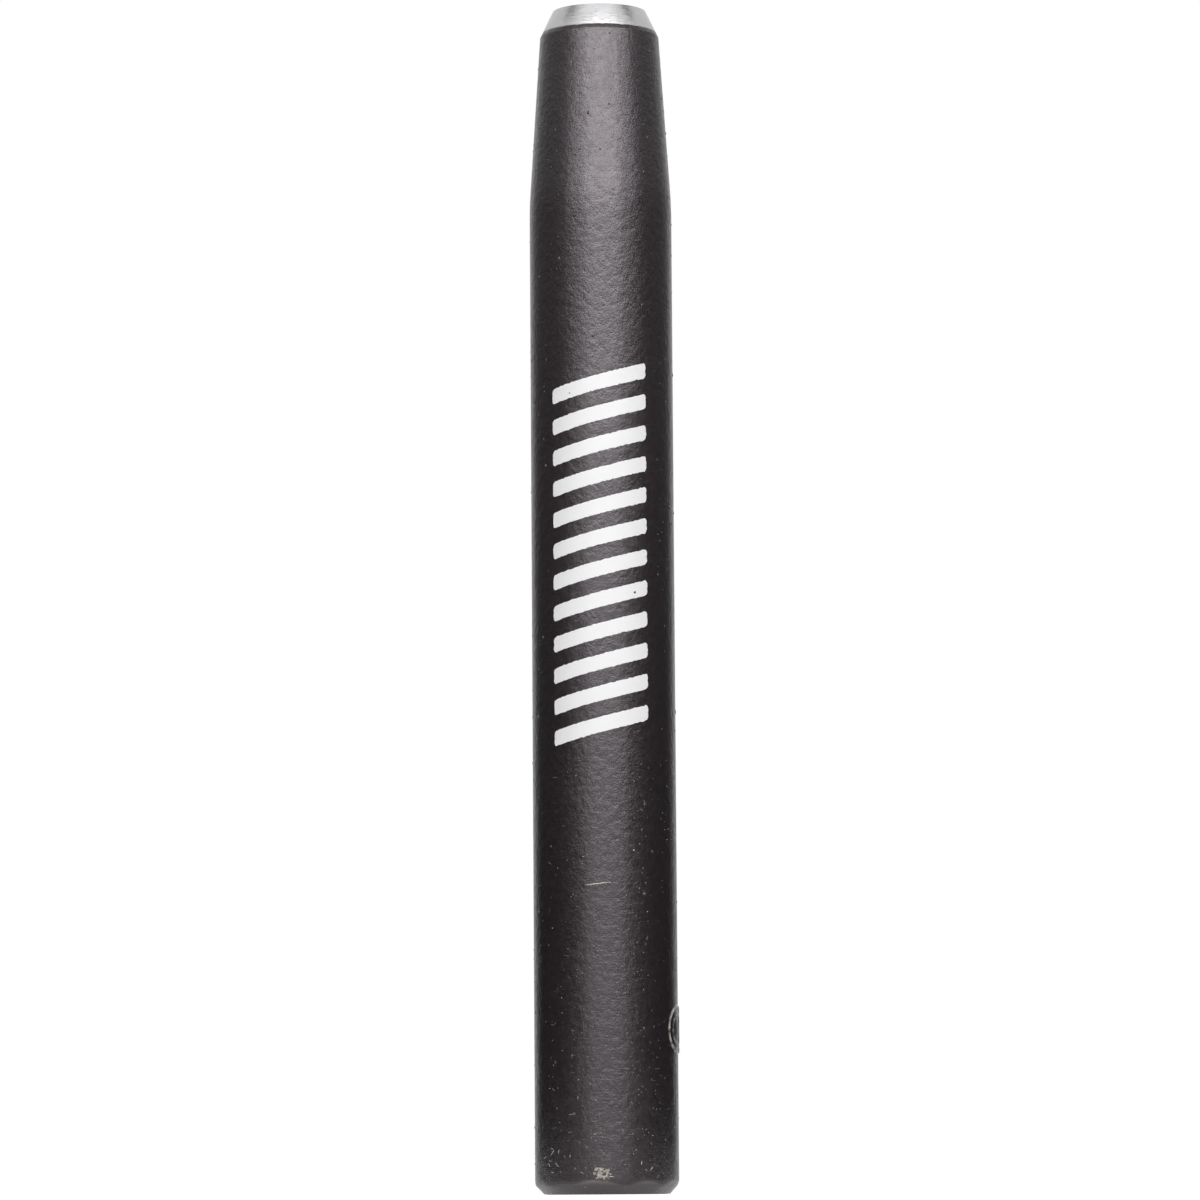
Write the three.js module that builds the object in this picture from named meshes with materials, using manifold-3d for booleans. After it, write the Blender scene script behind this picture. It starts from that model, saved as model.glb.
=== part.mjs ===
// Hollow punch: a struck hand tool that cuts round holes in leather, gasket sheet and other soft sheet.
// The tool is one bar of steel, drilled from the cutting end and finished with a thick black coat.
// Millimetres, +Z up. The origin is the centre of the struck face, and the cutting edge is at the top.
// The plain side of the shank faces -Y, and the window where the cut slugs leave faces +Y.

import * as THREE from "three";
import { mergeVertices } from "three/addons/utils/BufferGeometryUtils.js";
import Module from "manifold-3d";

// Driving dimensions: the bar
const overallLength = 101.6; // struck face to cutting edge, 4 in
const shankDiameter = 12.2; // over the coat
const headChamferHeight = 0.95; // struck end, along the axis
const headChamferWidth = 0.85; // struck end, across the face
const shoulderBlendLength = 2.8; // soft corner where the shank runs into the nose

// Driving dimensions: the cutting nose
const cuttingDiameter = 7.94; // the hole that it cuts, 5/16 in
const edgeLand = 0.06; // flat left on the ground edge
const bevelAngle = THREE.MathUtils.degToRad(25.5); // ground bevel, measured from the axis
const bevelFootWall = 0.9; // steel between the bore and the foot of the bevel
const noseLength = 15.1; // taper, from the foot of the bevel to the shoulder

// Driving dimensions: the way that a slug takes through the tool
const boreLandLength = 4; // straight bore behind the edge
const reliefStep = 0.4; // how much wider the bore is, on the radius, once it is relieved
const reliefTaperLength = 8; // from the straight bore to the relieved one
const windowDistance = 32; // cutting edge to the near end of the window
const windowLength = 26; // along the shank
const slugClearance = 0.3; // the window is this much wider than a slug
const rampAngle = THREE.MathUtils.degToRad(45); // floor that throws the slugs out, measured from square

// Driving dimensions: the coat
const coatThickness = 0.14;
const coatSeatGap = 0.02; // keeps the coat's inner face clear of the steel
const coatFootHeight = 0.15; // the coat stops this far above the struck face

// Facets
const roundSegments = 96;
const blendSegments = 6;
const windowEndSegments = 16;
const cutOverrun = 2; // cutting solids pass the faces that they open by this much

// Derived sizes
const cuttingRadius = cuttingDiameter / 2;
const reliefRadius = cuttingRadius + reliefStep;
const coatBuild = coatSeatGap + coatThickness;
const steelShankRadius = shankDiameter / 2 - coatBuild;
const bevelFootRadius = cuttingRadius + edgeLand + bevelFootWall;
const bevelFootHeight = overallLength - bevelFootWall / Math.tan(bevelAngle);
const shoulderHeight = bevelFootHeight - noseLength;
const windowHalfWidth = (cuttingDiameter + slugClearance) / 2;
const windowTopHeight = overallLength - windowDistance;
const windowBottomHeight = windowTopHeight - windowLength;
const levelDirection = new THREE.Vector2(1, 0);
const bevelDirection = new THREE.Vector2(Math.sin(bevelAngle), -Math.cos(bevelAngle));

const wasm = await Module();
wasm.setup();

// A closed geometry as a solid that can be cut and joined.
function toSolid(geometry) {
  const bare = geometry.clone();
  bare.deleteAttribute("normal");
  bare.deleteAttribute("uv");
  const merged = mergeVertices(bare);
  const triVerts = new Uint32Array(merged.index.array);
  const vertProperties = merged.attributes.position.array;
  return new wasm.Manifold(new wasm.Mesh({ numProp: 3, vertProperties, triVerts }));
}

// A cut solid as a geometry again.
function toGeometry(solid) {
  const { vertProperties, triVerts } = solid.getMesh();
  const geometry = new THREE.BufferGeometry();
  geometry.setAttribute("position", new THREE.BufferAttribute(vertProperties, 3));
  geometry.setIndex(new THREE.BufferAttribute(triVerts, 1));
  geometry.computeVertexNormals();
  return geometry;
}

// Profile points are (radius, height), in the order that runs up the outside.
function revolve(points) {
  return toSolid(new THREE.LatheGeometry(points, roundSegments).rotateX(Math.PI / 2));
}

// The coated outside of the steel: head chamfer, shank, blended shoulder and tapered nose.
function coatedOutline() {
  const foot = new THREE.Vector2(bevelFootRadius, bevelFootHeight);
  const shoulder = new THREE.Vector2(steelShankRadius, shoulderHeight);
  const blendShare = shoulderBlendLength / 2 / noseLength;
  const blendEnd = shoulder.clone().lerp(foot, blendShare);
  const path = new THREE.Path();
  path.moveTo(steelShankRadius - headChamferWidth, 0);
  path.lineTo(steelShankRadius, headChamferHeight);
  path.lineTo(steelShankRadius, shoulderHeight - shoulderBlendLength / 2);
  path.quadraticCurveTo(shoulder.x, shoulder.y, blendEnd.x, blendEnd.y);
  path.lineTo(foot.x, foot.y);
  return path.getPoints(blendSegments);
}

// Outward normal of the profile between two of its points.
function outwardNormal(lower, upper) {
  const along = upper.clone().sub(lower).normalize();
  return new THREE.Vector2(along.y, -along.x);
}

// The outline moved outwards, with mitred corners. The lower end slides level and the upper end along the bevel.
function offsetOutline(outline, distance) {
  const normals = outline.slice(1).map((point, i) => outwardNormal(outline[i], point));
  return outline.map((point, i) => {
    const below = normals[i - 1] ?? normals[i];
    const above = normals[i] ?? below;
    let slide = below.clone().add(above);
    if (i === 0) slide = levelDirection;
    if (i === normals.length) slide = bevelDirection;
    return point.clone().addScaledVector(slide, distance / slide.dot(below));
  });
}

// The bar before it is drilled, with its struck face and its ground bevel.
function makeBlank() {
  const edge = new THREE.Vector2(cuttingRadius + edgeLand, overallLength);
  const struckCentre = new THREE.Vector2(0, 0);
  const edgeCentre = new THREE.Vector2(0, overallLength);
  return revolve([struckCentre, ...coatedOutline(), edge, edgeCentre]);
}

// The relieved bore, from past the cutting edge down to below the ramp.
function makeBore() {
  const landEnd = overallLength - boreLandLength;
  const top = overallLength + cutOverrun;
  return revolve([
    new THREE.Vector2(0, windowBottomHeight),
    new THREE.Vector2(reliefRadius, windowBottomHeight),
    new THREE.Vector2(reliefRadius, landEnd - reliefTaperLength),
    new THREE.Vector2(cuttingRadius, landEnd),
    new THREE.Vector2(cuttingRadius, top),
    new THREE.Vector2(0, top),
  ]);
}

// The window is milled from the back to the axis, with a round end towards the cutting edge.
function makeWindow() {
  const roundCentre = windowTopHeight - windowHalfWidth;
  const depth = shankDiameter / 2 + cutOverrun;
  const outline = new THREE.Shape();
  outline.moveTo(-windowHalfWidth, windowBottomHeight);
  outline.lineTo(windowHalfWidth, windowBottomHeight);
  outline.lineTo(windowHalfWidth, roundCentre);
  outline.absarc(0, roundCentre, windowHalfWidth, 0, Math.PI, false);
  const geometry = new THREE.ExtrudeGeometry(outline, {
    depth,
    bevelEnabled: false,
    curveSegments: windowEndSegments,
  });
  return toSolid(geometry.rotateX(Math.PI / 2).translate(0, depth, 0));
}

// Solid metal under the ramp, which runs from the window's far end up to the front wall of the bore.
function makeRampBlock() {
  const reach = shankDiameter / 2 + cutOverrun;
  const heightAt = (y) => windowBottomHeight + (shankDiameter / 2 - y) * Math.tan(rampAngle);
  const section = new THREE.Shape();
  section.moveTo(-reach, heightAt(reach) - cutOverrun);
  section.lineTo(reach, heightAt(reach) - cutOverrun);
  section.lineTo(reach, heightAt(reach));
  section.lineTo(-reach, heightAt(-reach));
  const geometry = new THREE.ExtrudeGeometry(section, { depth: 2 * reach, bevelEnabled: false });
  const acrossTheShank = new THREE.Matrix4().makeBasis(
    new THREE.Vector3(0, 1, 0),
    new THREE.Vector3(0, 0, 1),
    new THREE.Vector3(1, 0, 0),
  );
  return toSolid(geometry.translate(0, 0, -reach).applyMatrix4(acrossTheShank));
}

// The coat follows the outline of the steel, from just above the struck face to the ground bevel.
function makeCoat() {
  const outline = coatedOutline();
  outline[0].lerp(outline[1], coatFootHeight / headChamferHeight);
  const inner = offsetOutline(outline, coatSeatGap);
  const outer = offsetOutline(outline, coatBuild);
  return revolve([inner[0], ...outer, ...inner.reverse()]);
}

const slugPath = makeBore().add(makeWindow()).subtract(makeRampBlock());

const bareSteel = new THREE.MeshStandardMaterial({ color: 0xb4b5b6, roughness: 0.34, metalness: 1 });
const blackCoat = new THREE.MeshStandardMaterial({ color: 0x2a282a, roughness: 0.42, metalness: 0 });

const punchBody = new THREE.Mesh(toGeometry(makeBlank().subtract(slugPath)), bareSteel);
punchBody.name = "punch_body";

const shankCoat = new THREE.Mesh(toGeometry(makeCoat().subtract(slugPath)), blackCoat);
shankCoat.name = "shank_coat";

const hollowPunch = new THREE.Group();
hollowPunch.name = "hollow_punch";
hollowPunch.add(punchBody, shankCoat);

export default hollowPunch;
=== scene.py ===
import math
import random

import bmesh
import bpy
from mathutils import Matrix, Quaternion, Vector, noise


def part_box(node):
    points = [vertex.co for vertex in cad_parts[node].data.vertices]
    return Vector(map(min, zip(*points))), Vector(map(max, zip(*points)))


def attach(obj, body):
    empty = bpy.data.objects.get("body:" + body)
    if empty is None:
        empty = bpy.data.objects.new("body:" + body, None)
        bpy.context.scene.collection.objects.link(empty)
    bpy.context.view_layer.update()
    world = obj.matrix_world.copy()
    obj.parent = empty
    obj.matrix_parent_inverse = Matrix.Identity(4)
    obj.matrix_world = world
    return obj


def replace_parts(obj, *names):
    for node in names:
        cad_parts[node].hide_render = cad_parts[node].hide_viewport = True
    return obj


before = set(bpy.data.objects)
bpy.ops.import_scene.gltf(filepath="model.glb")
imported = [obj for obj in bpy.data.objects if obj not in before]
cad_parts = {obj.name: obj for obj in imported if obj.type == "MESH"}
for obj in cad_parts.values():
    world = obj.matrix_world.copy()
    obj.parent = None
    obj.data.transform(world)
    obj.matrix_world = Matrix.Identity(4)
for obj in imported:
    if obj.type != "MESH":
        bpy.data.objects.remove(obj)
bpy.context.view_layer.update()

mm = 0.001  # the scene is in metres, and the sizes below are in millimetres
touching = 0.001  # points that are closer than this are one point
sliver = 0.002  # a cut leaves edges shorter than this, which are closed up
noiseRange = (0.3, 0.7)  # most values of a noise texture lie in it

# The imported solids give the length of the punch, its steel and the outside of its coat.
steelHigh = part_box("punch_body")[1]
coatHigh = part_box("shank_coat")[1]
overallLength = steelHigh.z / mm
steelRadius = steelHigh.x / mm
shankRadius = coatHigh.x / mm
print("frame loaded:", round(overallLength, 2), "mm long,", round(2 * shankRadius, 2), "mm across")

# One bar of steel, with the same sizes as its solid
punch = {
    "cuttingDiameter": 7.94,
    "edgeLand": 0.06,
    "bevelAngle": 25.5,  # degrees from the axis
    "bevelFootWall": 0.9,
    "noseLength": 15.1,
    "shoulderBlend": 2.8,
    "headChamferHeight": 0.95,
    "headChamferWidth": 0.85,
    "boreLand": 4,
    "reliefStep": 0.4,
    "reliefTaper": 8,
    "windowDistance": 32,  # cutting edge to the window
    "windowLength": 26,
    "slugClearance": 0.3,
    "rampAngle": 45,  # degrees from square
    "overrun": 2,  # cutters pass the faces that they open
    "steps": 256,
    "blendSteps": 10,
    "windowSteps": 32,
}
cuttingRadius = punch["cuttingDiameter"] / 2
bevelTangent = math.tan(math.radians(punch["bevelAngle"]))
bevelFootRadius = cuttingRadius + punch["edgeLand"] + punch["bevelFootWall"]
bevelFootHeight = overallLength - punch["bevelFootWall"] / bevelTangent
shoulderHeight = bevelFootHeight - punch["noseLength"]
windowTop = overallLength - punch["windowDistance"]
windowBottom = windowTop - punch["windowLength"]
windowHalfWidth = (punch["cuttingDiameter"] + punch["slugClearance"]) / 2


# General helpers
def linear(hexColour):  # sRGB hex to a linear colour
    channels = [int(hexColour[i:i + 2], 16) / 255 for i in (1, 3, 5)]
    return [c / 12.92 if c <= 0.04045 else ((c + 0.055) / 1.055) ** 2.4 for c in channels] + [1.0]


def addNode(tree, kind, inputs=None, **settings):  # a node with its settings and links
    node = tree.nodes.new(kind)
    for name, value in settings.items():
        setattr(node, name, value)
    for socket, value in (inputs or {}).items():
        if isinstance(value, bpy.types.NodeSocket):
            tree.links.new(value, node.inputs[socket])
        else:
            node.inputs[socket].default_value = value
    return node


def newMaterial(name):
    material = bpy.data.materials.new(name)
    material.use_nodes = True
    material.node_tree.nodes.clear()
    return material, material.node_tree


def newObject(name, bm, materials=()):
    mesh = bpy.data.meshes.new(name)
    bm.to_mesh(mesh)
    bm.free()
    for material in materials:
        mesh.materials.append(material)
    obj = bpy.data.objects.new(name, mesh)
    bpy.context.scene.collection.objects.link(obj)
    return obj


def spinProfile(profile, steps):  # profile points are (radius, height)
    bm = bmesh.new()
    verts = [bm.verts.new((r * mm, 0, z * mm)) for r, z in profile]
    edges = [bm.edges.new(pair) for pair in zip(verts, verts[1:])]
    bmesh.ops.spin(bm, geom=verts + edges, cent=(0, 0, 0), axis=(0, 0, 1),
                   angle=2 * math.pi, steps=steps, use_merge=True)
    bmesh.ops.remove_doubles(bm, verts=bm.verts, dist=touching * mm)
    bmesh.ops.recalc_face_normals(bm, faces=bm.faces)
    return bm


def cut(obj, cutter, operation="DIFFERENCE", overlaps=False):  # an exact Boolean, applied
    modifier = obj.modifiers.new("cut", "BOOLEAN")
    modifier.object = cutter
    modifier.operation = operation
    modifier.solver = "EXACT"
    modifier.use_self = overlaps  # for a cutter whose shapes run into one another
    graph = bpy.context.evaluated_depsgraph_get()
    mesh = bpy.data.meshes.new_from_object(obj.evaluated_get(graph))
    obj.modifiers.clear()
    obj.data = mesh
    bm = bmesh.new()
    bm.from_mesh(mesh)
    bmesh.ops.remove_doubles(bm, verts=bm.verts, dist=sliver * mm)
    bmesh.ops.dissolve_degenerate(bm, edges=bm.edges, dist=touching * mm)
    bm.to_mesh(mesh)
    bm.free()


def finishShading(obj, angle=30):
    obj.data.shade_smooth()
    obj.data.set_sharp_from_angle(angle=math.radians(angle))


# The coated outside of the steel: head chamfer, shank, blended shoulder and tapered nose
def softenCorner(points, i, reach, steps):  # replaces a corner by a curve that starts this far from it
    corner = points[i]
    start = corner + (points[i - 1] - corner).normalized() * reach
    end = corner + (points[i + 1] - corner).normalized() * reach
    shares = [k / steps for k in range(steps + 1)]
    curve = [start.lerp(corner, t).lerp(corner.lerp(end, t), t) for t in shares]
    return points[:i] + curve + points[i + 1:]


def steelOutline(low=0):  # points are (radius, height), from this height up
    chamferFoot = Vector((steelRadius - punch["headChamferWidth"], 0))
    chamferTop = Vector((steelRadius, punch["headChamferHeight"]))
    shoulder = Vector((steelRadius, shoulderHeight))
    bevelFoot = Vector((bevelFootRadius, bevelFootHeight))
    start = chamferFoot.lerp(chamferTop, low / punch["headChamferHeight"])
    corners = [start, chamferTop, shoulder, bevelFoot]
    return softenCorner(corners, corners.index(shoulder), punch["shoulderBlend"] / 2, punch["blendSteps"])


def offsetOutline(points, distance):  # the ends slide level at the foot and along the bevel at the top
    level = Vector((1, 0))
    bevel = Vector((bevelTangent, -1))
    along = [(b - a).normalized() for a, b in zip(points, points[1:])]
    normals = [Vector((d.y, -d.x)) for d in along]
    moved = []
    for i, point in enumerate(points):
        below = normals[max(i - 1, 0)]
        above = normals[min(i, len(normals) - 1)]
        slide = level if i == 0 else bevel if i == len(normals) else below + above
        moved.append(point + slide * (distance / slide.dot(below)))
    return moved


def pointAt(outline, height):  # the point of an outline at this height
    for a, b in zip(outline, outline[1:]):
        if a.y <= height <= b.y:
            return a.lerp(b, (height - a.y) / (b.y - a.y))


coat = {
    "seatGap": 0.02,
    "foot": 0.03,  # the film thins out just above the struck face
    "cornerReach": 0.4,  # it is rounded over the corner of the head chamfer
    "cornerSteps": 8,
    "steps": 256,
    "rowSpacing": 5,
    "topRows": [0.5, 0.25, 0.12, 0.05],  # rows under the ground edge, for its ragged line
    "topClear": 0.75,  # no other row comes this close to the edge
    "raggedDepth": 0.07,
    "raggedTurns": 9,
    "raggedFiner": 3,  # a second, finer wave on it
    "rubbed": 0.1,  # how far the coat is rubbed back from the rim of the window
    "chamferFloorGleam": 0.05,  # painted reflection: how far the head chamfer's colour is lightened toward the worn colour, standing for the white floor that it reflects
    "crestReach": 0.5,  # the film runs wavy over the corner of the head chamfer
    "crestWave": 0.36,
    "crestTurns": 2.4,
    "crestWear": 0.2,
    "crestBase": 0.5,  # wear where the wave is level
    "crestPower": 3,  # keeps the wear close to the corner
}
coatInside = offsetOutline(steelOutline(coat["foot"]), coat["seatGap"])
coatOutside = offsetOutline(steelOutline(coat["foot"]), shankRadius - steelRadius)
coatOutside = softenCorner(coatOutside, 1, coat["cornerReach"], coat["cornerSteps"])


def wrap(bm):  # bends a flat shape round the coat: x runs round it, y up it, and z stands out from it
    for v in bm.verts:
        turn = v.co.x / (shankRadius * mm)
        radius = pointAt(coatOutside, v.co.y / mm).x * mm + v.co.z
        v.co = (radius * math.sin(turn), -radius * math.cos(turn), v.co.y)


# Finishes
def groundSteel():
    # Hardened tool steel, ground: bright, with fine wheel marks that run round the bevel.
    # Real wheel marks are finer, and these are as fine as the picture shows.
    look = {"colour": "#c8c7c8", "shade": "#a1a1a3", "roughness": (0.24, 0.4), "markSpacing": 0.1,
            "markLength": 0.6, "markDepth": 0.01}
    material, tree = newMaterial("groundToolSteel")
    coords = addNode(tree, "ShaderNodeTexCoord")
    spacing = 1 / (look["markSpacing"] * mm)
    length = 1 / (look["markLength"] * mm)
    stretched = addNode(tree, "ShaderNodeMapping", {"Vector": coords.outputs["Object"],
                                                    "Scale": (length, length, spacing)})
    wheelMarks = addNode(tree, "ShaderNodeTexNoise", {"Vector": stretched.outputs[0], "Scale": 1.0,
                                                      "Detail": 3.0, "Roughness": 0.6})
    tone = addNode(tree, "ShaderNodeMix", {"Factor": wheelMarks.outputs["Fac"], "A": linear(look["shade"]),
                                           "B": linear(look["colour"])}, data_type="RGBA")
    rough = addNode(tree, "ShaderNodeMapRange", {"Value": wheelMarks.outputs["Fac"],
                                                 "From Min": noiseRange[0], "From Max": noiseRange[1],
                                                 "To Min": look["roughness"][0],
                                                 "To Max": look["roughness"][1]})
    bump = addNode(tree, "ShaderNodeBump", {"Height": wheelMarks.outputs["Fac"], "Strength": 0.35,
                                            "Distance": look["markDepth"] * mm})
    shader = addNode(tree, "ShaderNodeBsdfPrincipled", {"Base Color": tone.outputs["Result"],
                                                        "Metallic": 1.0,
                                                        "Roughness": rough.outputs["Result"],
                                                        "Normal": bump.outputs[0]})
    addNode(tree, "ShaderNodeOutputMaterial", {"Surface": shader.outputs[0]})
    return material


def blackCoat():
    # Baked black coat: satin, with orange peel, turning marks that show through low down, pits and dust.
    look = {"colour": "#231e20", "worn": "#d0cbc4", "speck": "#6e6a68", "sheen": "#fff7fd",
            "roughness": (0.28, 0.38), "peel": (0.52, 0.63), "peelDepth": 0.046, "marks": (0.9, 0.12),
            "marksDepth": 0.012, "marksTop": 40, "marksLeft": 0.05, "pits": 0.16, "pitDepth": 0.014,
            "dust": 0.45, "dustReach": 0.3, "dustPower": 4.0}  # the power makes large specks rare
    material, tree = newMaterial("bakedBlackCoat")
    place = addNode(tree, "ShaderNodeTexCoord").outputs["Object"]
    height = addNode(tree, "ShaderNodeSeparateXYZ", {0: place}).outputs["Z"]
    fade = addNode(tree, "ShaderNodeMapRange", {"Value": height, "From Max": look["marksTop"] * mm,
                                                "To Min": 1.0, "To Max": look["marksLeft"]})
    low = fade.outputs["Result"]
    around, upward = [1 / (size * mm) for size in look["peel"]]
    drawn = addNode(tree, "ShaderNodeMapping", {"Vector": place, "Scale": (around, around, upward)})
    peel = addNode(tree, "ShaderNodeTexNoise", {"Vector": drawn.outputs[0], "Scale": 1.0, "Detail": 3.0,
                                                "Roughness": 0.55}).outputs["Fac"]
    along, across = [1 / (size * mm) for size in look["marks"]]
    stretched = addNode(tree, "ShaderNodeMapping", {"Vector": place, "Scale": (along, along, across)})
    turnMarks = addNode(tree, "ShaderNodeTexNoise", {"Vector": stretched.outputs[0], "Scale": 1.0,
                                                     "Detail": 2.0})
    lowMarks = addNode(tree, "ShaderNodeMath", {0: turnMarks.outputs["Fac"], 1: low},
                       operation="MULTIPLY")
    pits = addNode(tree, "ShaderNodeTexNoise", {"Vector": place, "Scale": 1 / (look["pits"] * mm),
                                                "Detail": 1.0})
    relief = None
    for layer, depth in ((peel, look["peelDepth"]), (lowMarks.outputs[0], look["marksDepth"]),
                         (pits.outputs["Fac"], look["pitDepth"])):
        bump = addNode(tree, "ShaderNodeBump", {"Height": layer, "Strength": 1.0, "Distance": depth * mm})
        if relief:
            tree.links.new(relief, bump.inputs["Normal"])
        relief = bump.outputs[0]
    cells = addNode(tree, "ShaderNodeTexVoronoi", {"Vector": place, "Scale": 1 / (look["dust"] * mm)})
    pick = addNode(tree, "ShaderNodeSeparateColor", {"Color": cells.outputs["Color"]})
    size = addNode(tree, "ShaderNodeMath", {0: pick.outputs[0], 1: look["dustPower"]}, operation="POWER")
    lowSize = addNode(tree, "ShaderNodeMath", {0: size.outputs[0], 1: low}, operation="MULTIPLY")
    reach = addNode(tree, "ShaderNodeMath", {0: lowSize.outputs[0], 1: look["dustReach"]},
                    operation="MULTIPLY")
    inside = addNode(tree, "ShaderNodeMath", {0: cells.outputs["Distance"], 1: reach.outputs[0]},
                     operation="LESS_THAN")
    speck = addNode(tree, "ShaderNodeMath", {0: inside.outputs[0], 1: pick.outputs[1]},
                    operation="MULTIPLY")
    # The wear attribute carries real wear, and on the head chamfer a painted reflection of the floor
    wear = addNode(tree, "ShaderNodeAttribute", attribute_name="wear")
    wearAndFloorGleamTone = addNode(tree, "ShaderNodeMix", {"Factor": wear.outputs["Fac"], "A": linear(look["colour"]),
                                               "B": linear(look["worn"])}, data_type="RGBA")
    tone = addNode(tree, "ShaderNodeMix", {"Factor": speck.outputs[0], "A": wearAndFloorGleamTone.outputs["Result"],
                                           "B": linear(look["speck"])}, data_type="RGBA")
    rough = addNode(tree, "ShaderNodeMapRange", {"Value": peel,
                                                 "From Min": noiseRange[0], "From Max": noiseRange[1],
                                                 "To Min": look["roughness"][0],
                                                 "To Max": look["roughness"][1]})
    shader = addNode(tree, "ShaderNodeBsdfPrincipled", {"Base Color": tone.outputs["Result"],
                                                        "Roughness": rough.outputs["Result"], "IOR": 1.55,
                                                        "Specular Tint": linear(look["sheen"]),
                                                        "Normal": relief})
    addNode(tree, "ShaderNodeOutputMaterial", {"Surface": shader.outputs[0]})
    return material


def drilledSteel():
    # Drilled bore: darker than the ground edge, with tool rings round it.
    look = {"colour": "#6d6a68", "shade": "#3c3a39", "roughness": 0.42, "ringSpacing": 0.35,
            "ringDepth": 0.02, "across": 120}  # so few waves per metre across that the rings stay whole
    material, tree = newMaterial("drilledSteel")
    coords = addNode(tree, "ShaderNodeTexCoord")
    rings = addNode(tree, "ShaderNodeMapping", {"Vector": coords.outputs["Object"],
                                                "Scale": (look["across"], look["across"],
                                                          1 / (look["ringSpacing"] * mm))})
    toolRings = addNode(tree, "ShaderNodeTexNoise", {"Vector": rings.outputs[0], "Scale": 1.0,
                                                     "Detail": 3.0})
    tone = addNode(tree, "ShaderNodeMix", {"Factor": toolRings.outputs["Fac"], "A": linear(look["shade"]),
                                           "B": linear(look["colour"])}, data_type="RGBA")
    bump = addNode(tree, "ShaderNodeBump", {"Height": toolRings.outputs["Fac"], "Strength": 0.6,
                                            "Distance": look["ringDepth"] * mm})
    shader = addNode(tree, "ShaderNodeBsdfPrincipled", {"Base Color": tone.outputs["Result"],
                                                        "Metallic": 1.0, "Roughness": look["roughness"],
                                                        "Normal": bump.outputs[0]})
    addNode(tree, "ShaderNodeOutputMaterial", {"Surface": shader.outputs[0]})
    return material


def blastedSteel():
    # Steel as it was blasted for coating: dull grey and grainy, seen only where the coat has chipped.
    look = {"colour": "#bcb7ae", "shade": "#504c47", "roughness": 0.6, "grit": 0.2, "gritDepth": 0.03}
    material, tree = newMaterial("blastedSteel")
    coords = addNode(tree, "ShaderNodeTexCoord")
    grit = addNode(tree, "ShaderNodeTexNoise", {"Vector": coords.outputs["Object"],
                                                "Scale": 1 / (look["grit"] * mm), "Detail": 2.0})
    tone = addNode(tree, "ShaderNodeMix", {"Factor": grit.outputs["Fac"], "A": linear(look["shade"]),
                                           "B": linear(look["colour"])}, data_type="RGBA")
    bump = addNode(tree, "ShaderNodeBump", {"Height": grit.outputs["Fac"], "Strength": 1.0,
                                            "Distance": look["gritDepth"] * mm})
    shader = addNode(tree, "ShaderNodeBsdfPrincipled", {"Base Color": tone.outputs["Result"],
                                                        "Metallic": 0.6, "Roughness": look["roughness"],
                                                        "Normal": bump.outputs[0]})
    addNode(tree, "ShaderNodeOutputMaterial", {"Surface": shader.outputs[0]})
    return material


def printingInk():
    # White pad-printing ink: matt and dense, with a few pinholes where the coat shows.
    look = {"colour": "#f2f2f3", "coat": "#2a282a", "roughness": 0.5, "pinholeSpacing": 0.9,
            "pinholeReach": 0.12, "pinholePower": 6.0}  # the power makes large pinholes rare
    material, tree = newMaterial("whitePrintingInk")
    coords = addNode(tree, "ShaderNodeTexCoord")
    cells = addNode(tree, "ShaderNodeTexVoronoi", {"Vector": coords.outputs["Object"],
                                                   "Scale": 1 / (look["pinholeSpacing"] * mm)})
    pick = addNode(tree, "ShaderNodeSeparateColor", {"Color": cells.outputs["Color"]})
    size = addNode(tree, "ShaderNodeMath", {0: pick.outputs[0], 1: look["pinholePower"]},
                   operation="POWER")
    reach = addNode(tree, "ShaderNodeMath", {0: size.outputs[0], 1: look["pinholeReach"]},
                    operation="MULTIPLY")
    hole = addNode(tree, "ShaderNodeMath", {0: cells.outputs["Distance"], 1: reach.outputs[0]},
                   operation="LESS_THAN")
    tone = addNode(tree, "ShaderNodeMix", {"Factor": hole.outputs[0], "A": linear(look["colour"]),
                                           "B": linear(look["coat"])}, data_type="RGBA")
    shader = addNode(tree, "ShaderNodeBsdfPrincipled", {"Base Color": tone.outputs["Result"],
                                                        "Roughness": look["roughness"], "IOR": 1.48})
    addNode(tree, "ShaderNodeOutputMaterial", {"Surface": shader.outputs[0]})
    return material


steelFinish = groundSteel()
boreFinish = drilledSteel()
coatFinish = blackCoat()
chipFinish = blastedSteel()
inkFinish = printingInk()
bodyFinishes = [steelFinish, boreFinish, coatFinish, chipFinish]
groundFace, boreFace, coatedFace, chipFace = range(len(bodyFinishes))
print("finishes made:", len(bpy.data.materials))


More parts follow.
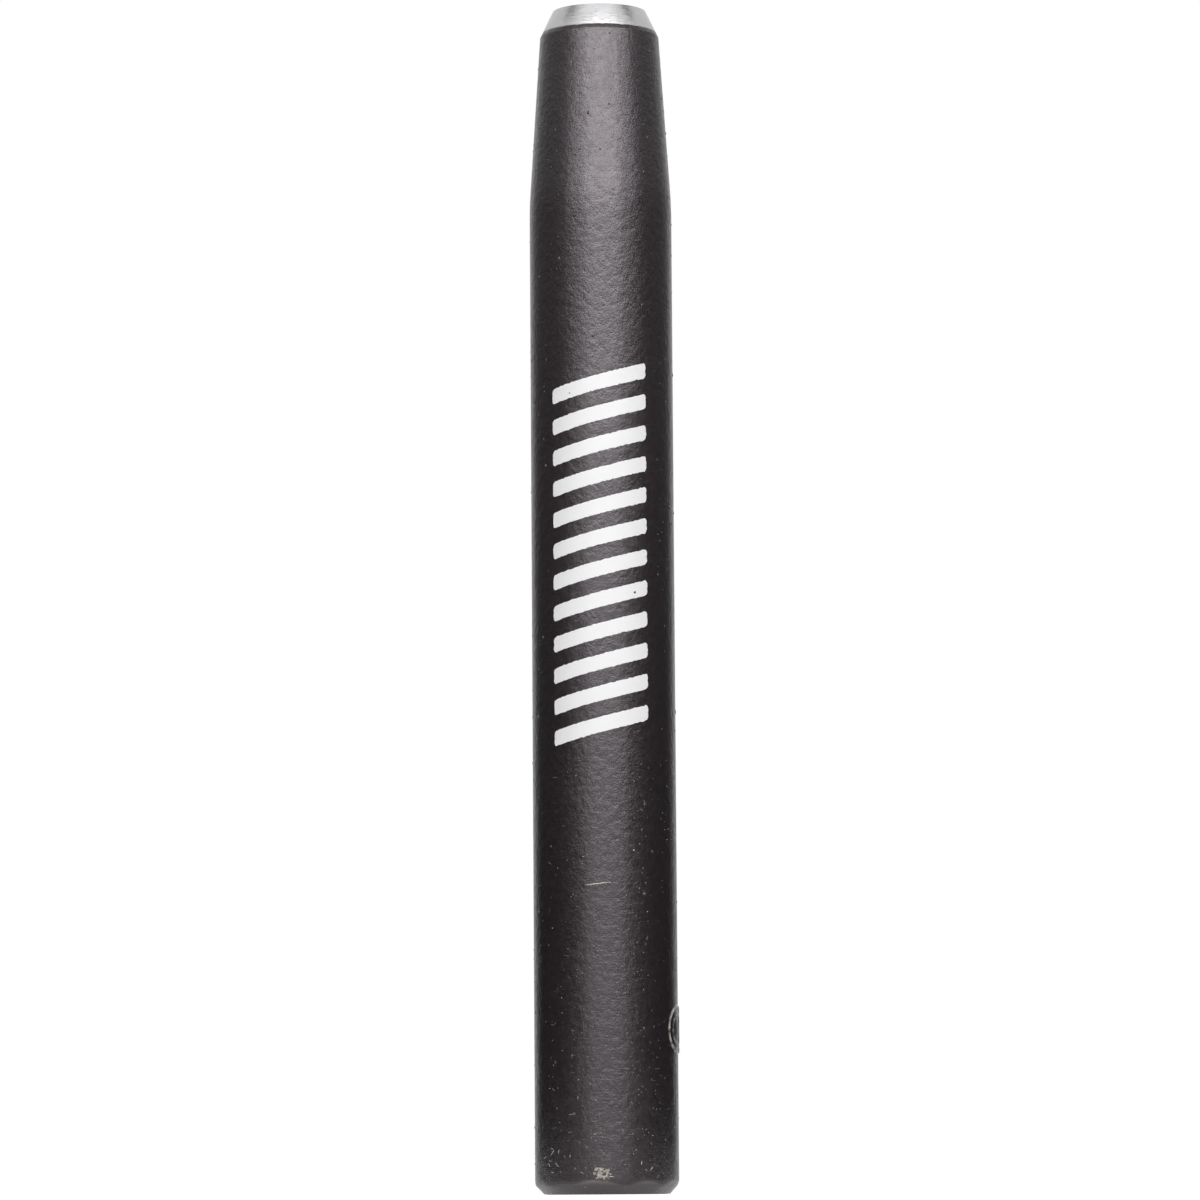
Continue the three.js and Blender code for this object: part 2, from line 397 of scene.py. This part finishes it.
# The way of the slugs: the bore and the window, closed below by the ramp
def makeSlugPath(margin=0):
    relief = cuttingRadius + punch["reliefStep"]
    halfWidth = windowHalfWidth + margin
    landEnd = overallLength - punch["boreLand"]
    top = overallLength + punch["overrun"]
    low = windowBottom - 2 * punch["overrun"]
    bm = spinProfile([(0, low), (relief, low), (relief, landEnd - punch["reliefTaper"]),
                      (cuttingRadius, landEnd), (cuttingRadius, top), (0, top)], punch["steps"])
    for face in bm.faces:
        face.material_index = boreFace
    path = newObject("slugPath", bm, bodyFinishes)

    bm = bmesh.new()
    roundCentre = windowTop - windowHalfWidth
    side = bm.verts.new((halfWidth * mm, 0, roundCentre * mm))
    bmesh.ops.spin(bm, geom=[side], cent=(0, 0, roundCentre * mm), axis=(0, -1, 0), angle=math.pi,
                   steps=punch["windowSteps"])
    bm.verts.ensure_lookup_table()
    arc = list(bm.verts)
    corners = [bm.verts.new((x * mm, 0, low * mm)) for x in (-halfWidth, halfWidth)]
    face = bm.faces.new(arc + corners)
    pulled = bmesh.ops.extrude_face_region(bm, geom=[face])["geom"]
    bmesh.ops.translate(bm, verts=[v for v in pulled if isinstance(v, bmesh.types.BMVert)],
                        vec=(0, (shankRadius + punch["overrun"]) * mm, 0))
    bmesh.ops.recalc_face_normals(bm, faces=bm.faces)
    for face in bm.faces:
        face.material_index = coatedFace
    window = newObject("window", bm, bodyFinishes)
    cut(path, window, "UNION")
    bpy.data.objects.remove(window)

    slope = math.tan(math.radians(punch["rampAngle"]))
    bm = bmesh.new()
    bm.from_mesh(path.data)
    sliced = bmesh.ops.bisect_plane(bm, geom=bm.verts[:] + bm.edges[:] + bm.faces[:],
                                    plane_co=(0, shankRadius * mm, (windowBottom - margin) * mm),
                                    plane_no=(0, slope, 1), clear_inner=True)["geom_cut"]
    rim = [e for e in sliced if isinstance(e, bmesh.types.BMEdge)]
    for face in bmesh.ops.edgeloop_fill(bm, edges=rim)["faces"]:  # the ramp
        face.material_index = coatedFace
    bmesh.ops.recalc_face_normals(bm, faces=bm.faces)
    bm.to_mesh(path.data)
    bm.free()
    return path


def makeBody(slugPath):
    edge = Vector((cuttingRadius + punch["edgeLand"], overallLength))
    profile = [Vector((0, 0))] + steelOutline() + [edge, Vector((0, overallLength))]
    bm = spinProfile(profile, punch["steps"])
    for face in bm.faces:
        height = face.calc_center_median().z / mm
        coated = 0 < height < bevelFootHeight
        face.material_index = chipFace if coated else groundFace
    body = newObject("punch_steel", bm, bodyFinishes)
    cut(body, slugPath)
    finishShading(body)
    return body


# The coat: a film over the shank and nose, chipped near the head and rubbed along its edges
def addRows(outline):  # rows of points along the shank, closer together under the ground edge
    low, top = coat["rowSpacing"], outline[-1].y
    count = round((top - low) / coat["rowSpacing"])
    heights = [p.y for p in outline]
    heights += [low + (top - low) * i / count for i in range(count)]
    heights = [h for h in heights if h < top - coat["topClear"]]
    heights += [top - depth for depth in coat["topRows"]]
    return [pointAt(outline, h) for h in sorted(heights)] + [outline[-1]]


chip = {"x": -0.45, "z": 1.8, "width": 1.8, "height": 1.25, "flakes": 40, "flakeRadius": (0.06, 0.17),
        "flakeSpread": 0.42, "flecks": 9, "fleckRadius": (0.03, 0.06), "fleckSpread": (0.6, 0.85),
        "points": 14, "jag": 0.8, "jagLeast": -0.7, "jagSize": 0.09, "depth": 1.0, "start": (0.4, 0.6),
        "seed": 6}


def makeChipCutter():  # a cluster of jagged flakes that run into one another, with a few flecks round it
    rng = random.Random(chip["seed"])
    spots = []
    for i in range(chip["flakes"] + chip["flecks"]):
        turn = 2 * math.pi * rng.random()
        inside = i < chip["flakes"]
        if inside:
            away = chip["flakeSpread"] * math.sqrt(rng.random())
        else:
            away = rng.uniform(*chip["fleckSpread"])
        sizes = chip["flakeRadius"] if inside else chip["fleckRadius"]
        spots.append((away * chip["width"] * math.cos(turn), away * chip["height"] * math.sin(turn),
                      rng.uniform(*sizes)))
    bm = bmesh.new()
    for x, z, radius in spots:
        front = shankRadius + chip["depth"] * rng.uniform(*chip["start"])
        centre = Vector((chip["x"] + x, -front, chip["z"] + z)) * mm
        matrix = Matrix.Translation(centre) @ Matrix.Rotation(math.pi / 2, 4, "X")
        ring = bmesh.ops.create_circle(bm, cap_ends=True, segments=chip["points"], radius=radius * mm,
                                       matrix=matrix)["verts"]
        for v in ring:
            jag = chip["jag"] * noise.noise(v.co / (chip["jagSize"] * mm))
            v.co = centre + (v.co - centre) * (1 + max(jag, chip["jagLeast"]))
        pulled = bmesh.ops.extrude_face_region(bm, geom=ring[0].link_faces[:])["geom"]
        bmesh.ops.translate(bm, verts=[v for v in pulled if isinstance(v, bmesh.types.BMVert)],
                            vec=(0, chip["depth"] * mm, 0))
    bmesh.ops.recalc_face_normals(bm, faces=bm.faces)
    return newObject("chips", bm, [coatFinish])


def makeCoat():
    profile = [coatInside[0]] + addRows(coatOutside) + coatInside[::-1]
    film = newObject("black_coat", spinProfile(profile, coat["steps"]), [coatFinish])
    for cutter, overlaps in ((makeSlugPath(coat["rubbed"]), False), (makeChipCutter(), True)):
        cut(film, cutter, overlaps=overlaps)
        bpy.data.objects.remove(cutter)

    bm = bmesh.new()
    bm.from_mesh(film.data)
    wear = bm.verts.layers.float.new("wear")
    for v in bm.verts:
        share = 1 - (coatHigh.z - v.co.z) / (coat["topRows"][0] * mm)
        if share > 0:  # the ground edge of the film is a little ragged
            turn = v.co.xy.normalized().to_3d() * coat["raggedTurns"]
            finer = noise.noise(turn * coat["raggedFiner"]) / 2
            v.co.z -= share * coat["raggedDepth"] * mm * max(0, noise.noise(turn) + finer)
        if v.co.z < punch["headChamferHeight"] * mm:  # painted reflection of the floor: the whole head chamfer is lightened
            v[wear] = coat["chamferFloorGleam"]
        crest = 1 - abs(v.co.z / mm - punch["headChamferHeight"]) / coat["crestReach"]
        if crest > 0:
            wave = noise.noise(v.co.xy.normalized().to_3d() * coat["crestTurns"])
            v[wear] += coat["crestWear"] * crest ** coat["crestPower"] * max(0, coat["crestBase"] + wave)
            v.co.z += crest * coat["crestWave"] * wave * mm
    bm.to_mesh(film.data)
    bm.free()
    finishShading(film)
    return film


# A plain ring mark near the head: two lips with a groove between them, round a slightly raised middle
ringMark = {"radius": 1.68, "angle": 79.4, "height": 13.84, "lip": 0.34, "lipHalf": 0.15, "lift": 0.11,
            "groove": 0.01, "crown": 0.1, "crownSteps": 6, "sunk": 0.03, "steps": 128, "wear": 0.5,
            "innerShare": 0.5, "unevenSize": 0.35, "sharpAngle": 60}


def makeRingMark():
    half, groove, lift = ringMark["lipHalf"], ringMark["groove"], ringMark["lift"]
    sunk = -ringMark["sunk"]
    inner, outer = ringMark["radius"] - ringMark["lip"], ringMark["radius"] + ringMark["lip"]
    shares = [k / ringMark["crownSteps"] for k in range(ringMark["crownSteps"] + 1)]
    profile = [(t * (inner - half), ringMark["crown"] * (1 - t * t)) for t in shares]
    profile += [(inner, lift), (inner + half, groove), (outer - half, groove), (outer, lift),
                (outer + half, sunk), (0, sunk)]
    bm = spinProfile(profile, ringMark["steps"])
    wear = bm.verts.layers.float.new("wear")
    for v in bm.verts:
        away = v.co.xy.length
        onLip = abs(v.co.z - lift * mm) < touching * mm and away > (inner - half / 2) * mm
        if onLip:  # rubbed bright
            share = 1 if away > ringMark["radius"] * mm else ringMark["innerShare"]
            v[wear] = share * max(0, ringMark["wear"] + noise.noise(v.co / (ringMark["unevenSize"] * mm)))
    across = math.radians(ringMark["angle"]) * shankRadius
    bmesh.ops.translate(bm, verts=bm.verts, vec=Vector((across, ringMark["height"], 0)) * mm)
    wrap(bm)
    mark = newObject("ring_mark", bm, [coatFinish])
    finishShading(mark, ringMark["sharpAngle"])
    return mark


# Dust nibs under the coat, and nicks, specks and short scratches in it
marks = {
    "nibs": 360, "nibRadius": (0.07, 0.17), "nibShape": (0.7, 1.3), "nibWear": (0.01, 0.1), "nibLow": 1.5,
    "nibTopClear": 1, "nibHeight": 0.32,  # height as a share of the radius
    "streak": {"count": 70, "x": 2.9, "spread": 0.6, "top": 42},  # a run in the coat, with more nibs
    "seenNibs": [(-3.4, 96.0), (-0.45, 97.4), (0.9, 98.8), (2.5, 95.2), (-1.8, 88.6), (0, 88.6),
                 (-1, 91.8)],
    # x, z, length, tilt in degrees and how far the coat is worn through
    "seenNicks": [(-4.6, 3.5, 0.65, 45, 0.9), (-4.05, 3.6, 0.4, 80, 0.8), (-3.1, 3.2, 0.25, 75, 1),
                  (-4.2, 2.5, 0.5, -40, 0.8),
                  (2.9, 2.6, 0.35, 80, 0.9), (3.75, 2.15, 0.5, 45, 0.8), (3.3, 2.0, 0.3, -50, 0.7),
                  (2.45, 3.7, 0.25, 60, 0.6), (3.3, 5.4, 0.2, 20, 0.6), (3.85, 4.9, 0.25, -30, 0.6),
                  (3.5, 5.15, 0.15, 60, 0.5), (-4.8, 8.9, 0.2, 10, 0.9), (-3.0, 6.7, 0.5, 3, 0.3),
                  (-3.1, 5.2, 0.4, 0, 0.3), (1.65, 10.5, 0.6, 0, 0.25), (-3.7, 15.2, 0.18, 20, 0.7),
                  (2.45, 28.8, 0.27, 30, 1), (2.45, 28.8, 0.24, -50, 1)],
    "hairline": (-0.6, 26.0, 2.3, 6),
    "kinds": [  # how many, how far up, length, width, spread of the tilt and wear
        {"count": 46, "top": 7, "length": (0.12, 0.45), "width": 0.07, "tilt": 60, "wear": (0.3, 0.8)},
        {"count": 850, "top": 92, "length": (0.08, 0.18), "width": 0.11, "tilt": 30, "wear": (0.06, 0.5)},
        {"count": 170, "top": 62, "length": (0.15, 0.8), "width": 0.04, "tilt": 5, "wear": (0.05, 0.22)},
    ],
    "seenWidth": 0.07, "hairWidth": 0.065, "hairWear": 1, "height": 0.012, "crowding": 1.5,
    "nickLow": 1.3, "finer": 3, "sharpAngle": 180, "seed": 11,
    # What stays clear of marks beside, below and above the print, and round the window
    "printAside": 1, "printBelow": 3, "printAbove": 33, "windowTurn": 2.2, "windowClear": 1,
}


def roundTo(x, height):  # how far round the coat a point lies that is seen at x from the front
    return shankRadius * math.asin(x / pointAt(coatOutside, height).x)


def addBlob(bm, across, height, size, tilt=0):  # a small flattened ball, half sunk in the coat
    matrix = Matrix.Translation(Vector((across, height, 0)) * mm)
    matrix = matrix @ Matrix.Rotation(math.radians(tilt), 4, "Z")
    matrix = matrix @ Matrix.Diagonal([*(Vector(size) * mm), 1])
    finer = 1 + round(marks["finer"] * size[0])  # a long one needs more points to follow the curve
    return bmesh.ops.create_icosphere(bm, subdivisions=finer, radius=1, matrix=matrix)["verts"]


def isCovered(across, height):  # under the print, or in the window
    beside = abs(across) < bars["width"] / 2 + marks["printAside"]
    inPrint = beside and bars["low"] - marks["printBelow"] < height < bars["low"] + marks["printAbove"]
    behind = abs(across) > shankRadius * marks["windowTurn"]
    clear = marks["windowClear"]
    inWindow = behind and windowBottom - clear < height < windowTop + clear
    return inPrint or inWindow


def makeNibs():
    rng = random.Random(marks["seed"])
    spots = [(roundTo(x, z), z) for x, z in marks["seenNibs"]]
    low, top = marks["nibLow"], coatHigh.z / mm - marks["nibTopClear"]
    spots += [(shankRadius * rng.uniform(-math.pi, math.pi), rng.uniform(low, top))
              for i in range(marks["nibs"])]
    streak = marks["streak"]
    spots += [(rng.gauss(streak["x"], streak["spread"]), rng.uniform(low, streak["top"]))
              for i in range(streak["count"])]
    bm = bmesh.new()
    wear = bm.verts.layers.float.new("wear")
    for across, height in spots:
        radius = rng.uniform(*marks["nibRadius"])
        worn = rng.uniform(*marks["nibWear"])
        if isCovered(across, height):
            continue
        size = (radius, radius * rng.uniform(*marks["nibShape"]), radius * marks["nibHeight"])
        for v in addBlob(bm, across, height, size):
            v[wear] = worn
    wrap(bm)
    nibs = newObject("coat_nibs", bm, [coatFinish])
    finishShading(nibs, marks["sharpAngle"])
    return nibs


def makeNicks():
    rng = random.Random(marks["seed"] + 1)
    spots = [(roundTo(x, z), z, length, marks["seenWidth"], tilt, worn)
             for x, z, length, tilt, worn in marks["seenNicks"]]
    x, z, length, tilt = marks["hairline"]
    spots.append((roundTo(x, z), z, length, marks["hairWidth"], tilt, marks["hairWear"]))
    for kind in marks["kinds"]:
        for i in range(kind["count"]):  # more of them towards the head
            across = shankRadius * rng.uniform(-math.pi, math.pi)
            height = marks["nickLow"] + kind["top"] * rng.random() ** marks["crowding"]
            length = rng.uniform(*kind["length"])
            tilt = rng.gauss(0, kind["tilt"])
            spots.append((across, height, length, kind["width"], tilt, rng.uniform(*kind["wear"])))
    bm = bmesh.new()
    wear = bm.verts.layers.float.new("wear")
    for across, height, length, width, tilt, worn in spots:
        if isCovered(across, height):
            continue
        for v in addBlob(bm, across, height, (length / 2, width / 2, marks["height"]), tilt):
            v[wear] = worn
    wrap(bm)
    nicks = newObject("coat_nicks", bm, [coatFinish])
    finishShading(nicks, marks["sharpAngle"])
    return nicks


# The print: a column of plain slanted bars in white ink
bars = {"count": 12, "low": 39.4, "pitch": 2.65, "thickness": 1.3, "width": 8.6, "rise": 2.2, "left": 0.3,
        "film": 0.02, "sunk": 0.005, "corner": 0.28, "ragged": 0.07, "raggedSize": 0.22, "raggedShift": 5,
        "columns": 80, "rows": 6, "rim": 0.999}


def makePrint():
    bm = bmesh.new()
    half = bars["width"] / 2
    for i in range(bars["count"]):
        grid = bmesh.ops.create_grid(bm, x_segments=bars["columns"], y_segments=bars["rows"], size=1)
        for v in grid["verts"]:
            onEnd, onSide = abs(v.co.x) > bars["rim"], abs(v.co.y) > bars["rim"]
            # Columns are closer together at the ends
            across = half * (v.co.x + math.sin(v.co.x * math.pi / 2)) / 2
            over = max(0, abs(across) - half + bars["corner"]) / bars["corner"]
            inset = bars["corner"] * (1 - math.sqrt(1 - over ** 2))
            up = v.co.y * (bars["thickness"] / 2 - inset) + bars["rise"] * across / bars["width"]
            up += bars["low"] + i * bars["pitch"]
            place = Vector((across, up, 0)) / bars["raggedSize"]
            up += bars["ragged"] * noise.noise(place) * onSide
            across += bars["ragged"] * noise.noise(place + Vector((0, 0, bars["raggedShift"]))) * onEnd
            v.co = Vector((across - bars["left"], up, -bars["sunk"])) * mm
    bmesh.ops.solidify(bm, geom=bm.faces[:], thickness=-bars["film"] * mm)
    bmesh.ops.recalc_face_normals(bm, faces=bm.faces)
    wrap(bm)
    ink = newObject("ink_bars", bm, [inkFinish])
    finishShading(ink)
    return ink


slugPath = makeSlugPath()
body = makeBody(slugPath)
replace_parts(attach(body, "root"), "punch_body")
print("steel made:", len(body.data.polygons), "faces")
film = makeCoat()
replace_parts(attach(film, "root"), "shank_coat")
print("coat made:", len(film.data.polygons), "faces")
bpy.data.objects.remove(slugPath)
for piece in (makeRingMark(), makeNibs(), makeNicks()):
    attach(piece, "root")
    print("mark made:", piece.name, len(piece.data.polygons), "faces")
ink = makePrint()
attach(ink, "root")
print("print made:", len(ink.data.polygons), "faces")

# The studio: pale floor, white surroundings, softboxes in front and above, and dark cards at the sides
studio = {
    "floor": 6000, "floorColour": "#f2f2f0", "floorGlow": 0.75, "floorWhite": 1.28, "ambient": 0.22,
    "softboxes": {  # angles in degrees from the front and from level
        "lowSoftbox": {"azimuth": 3.4, "elevation": 19.5, "width": 960, "height": 235, "radiance": 6.15,
                       "matt": True},
        "wideSoftbox": {"azimuth": 3.8, "elevation": 30, "width": 2285, "height": 145, "radiance": 6.85,
                        "matt": False},  # shows only as a gleam
        "topSoftbox": {"azimuth": 0, "elevation": 66, "width": 900, "height": 500, "radiance": 0.38,
                       "matt": True},
    },
    "wattsPerRadiance": 4,  # for each square metre of an area lamp
    "softboxDistance": 900,
    "cardSide": 350,
    "cardFoot": 40,  # a low card turns along the floor and ends this far from the axis
    "cards": {  # corners are (y, z), and the glow rises from dark to grey over the fade
        "lowCard": {"corners": [(-600, 1), (500, 1), (470, 185), (350, 222), (150, 220), (-200, 208),
                                (-290, 150), (-560, 90)], "glow": (0.015, 0.3), "fade": (50, 210)},
        "highCard": {"corners": [(-130, 430), (10, 362), (152, 659), (12, 727)], "glow": (0.08, 0.08),
                     "fade": (300, 700)},
    },
}


def seenWhite(tree):  # 1 for rays that show the surroundings, 0 for the ones that only light
    path = addNode(tree, "ShaderNodeLightPath")
    seen = addNode(tree, "ShaderNodeMath", {0: path.outputs["Is Camera Ray"],
                                            1: path.outputs["Is Glossy Ray"]}, operation="MAXIMUM")
    return addNode(tree, "ShaderNodeMath", {0: seen.outputs[0], 1: path.outputs["Is Transmission Ray"]},
                   operation="MAXIMUM")


def makeFloor():
    material, tree = newMaterial("paleFloor")
    pale = addNode(tree, "ShaderNodeBsdfDiffuse", {"Color": linear(studio["floorColour"])})
    white = addNode(tree, "ShaderNodeEmission", {"Strength": studio["floorWhite"]})
    share = addNode(tree, "ShaderNodeMath", {0: seenWhite(tree).outputs[0], 1: studio["floorGlow"]},
                    operation="MULTIPLY")
    mixed = addNode(tree, "ShaderNodeMixShader", {0: share.outputs[0], 1: pale.outputs[0],
                                                  2: white.outputs[0]})
    addNode(tree, "ShaderNodeOutputMaterial", {"Surface": mixed.outputs[0]})
    bm = bmesh.new()
    bmesh.ops.create_grid(bm, x_segments=1, y_segments=1, size=studio["floor"] / 2 * mm)
    floor = newObject("floor", bm, [material])


def makeWorld():
    world = bpy.data.worlds.new("whiteStudio")
    world.use_nodes = True
    tree = world.node_tree
    tree.nodes.clear()
    strength = addNode(tree, "ShaderNodeMapRange", {"Value": seenWhite(tree).outputs[0],
                                                    "To Min": studio["ambient"], "To Max": 1.0})
    white = addNode(tree, "ShaderNodeBackground", {"Color": (1, 1, 1, 1),
                                                   "Strength": strength.outputs["Result"]})
    addNode(tree, "ShaderNodeOutputWorld", {"Surface": white.outputs[0]})
    bpy.context.scene.world = world


def addSoftbox(name):
    box = studio["softboxes"][name]
    light = bpy.data.lights.new(name, "AREA")
    light.shape = "RECTANGLE"
    light.size = box["width"] * mm
    light.size_y = box["height"] * mm
    light.energy = studio["wattsPerRadiance"] * light.size * light.size_y * box["radiance"]
    lamp = bpy.data.objects.new(name, light)
    turn, tilt = math.radians(box["azimuth"]), math.radians(box["elevation"])
    back = Vector((math.sin(turn) * math.cos(tilt), -math.cos(turn) * math.cos(tilt), math.sin(tilt)))
    lamp.location = Vector((0, 0, overallLength / 2 * mm)) + back * studio["softboxDistance"] * mm
    lamp.rotation_euler = back.to_track_quat("Z", "Y").to_euler()
    lamp.visible_camera = False
    lamp.visible_diffuse = box["matt"]
    bpy.context.scene.collection.objects.link(lamp)


def addCards(name):  # dark cards on both sides of the punch, which show only in its reflections
    look = studio["cards"][name]
    material, tree = newMaterial(name)
    place = addNode(tree, "ShaderNodeTexCoord").outputs["Object"]
    height = addNode(tree, "ShaderNodeSeparateXYZ", {0: place})
    low, high = [end * mm for end in look["fade"]]
    glow = addNode(tree, "ShaderNodeMapRange", {"Value": height.outputs["Z"], "From Min": low,
                                                "From Max": high, "To Min": look["glow"][0],
                                                "To Max": look["glow"][1]})
    dark = addNode(tree, "ShaderNodeEmission", {"Strength": glow.outputs["Result"]})
    addNode(tree, "ShaderNodeOutputMaterial", {"Surface": dark.outputs[0]})
    share = studio["cardFoot"] / studio["cardSide"]
    for side in (-1, 1):
        bm = bmesh.new()
        x = side * studio["cardSide"] * mm
        corners = [bm.verts.new((x, y * mm, z * mm)) for y, z in look["corners"]]
        bm.faces.new(corners)
        if name == "lowCard":
            foot = [bm.verts.new((v.co.x * share, v.co.y * share, v.co.z)) for v in corners[1::-1]]
            bm.faces.new(corners[:2] + foot)
        card = newObject(name, bm, [material])
        card.visible_camera = False
        card.visible_diffuse = False
        card.visible_shadow = False


def addCamera():
    view = {"distance": 480, "height": 1, "tiltUp": 5.896, "panRight": -0.0321, "roll": -0.396,
            "lens": 169.23, "sensor": 36, "clipStart": 10}
    data = bpy.data.cameras.new("photoCamera")
    data.lens = view["lens"]
    data.sensor_width = view["sensor"]
    camera = bpy.data.objects.new("photoCamera", data)
    tilt, pan = math.radians(view["tiltUp"]), math.radians(view["panRight"])
    forward = Vector((math.sin(pan) * math.cos(tilt), math.cos(pan) * math.cos(tilt), math.sin(tilt)))
    camera.rotation_mode = "QUATERNION"
    camera.rotation_quaternion = (forward.to_track_quat("-Z", "Y")
                                  @ Quaternion((0, 0, 1), math.radians(view["roll"])))
    camera.location = (0, -view["distance"] * mm, view["height"] * mm)
    data.clip_start = view["clipStart"] * mm
    bpy.context.scene.collection.objects.link(camera)
    bpy.context.scene.camera = camera


makeFloor()
makeWorld()
for name in studio["softboxes"]:
    addSoftbox(name)
for name in studio["cards"]:
    addCards(name)
addCamera()
bpy.context.scene.view_settings.view_transform = "Standard"
print("studio made")
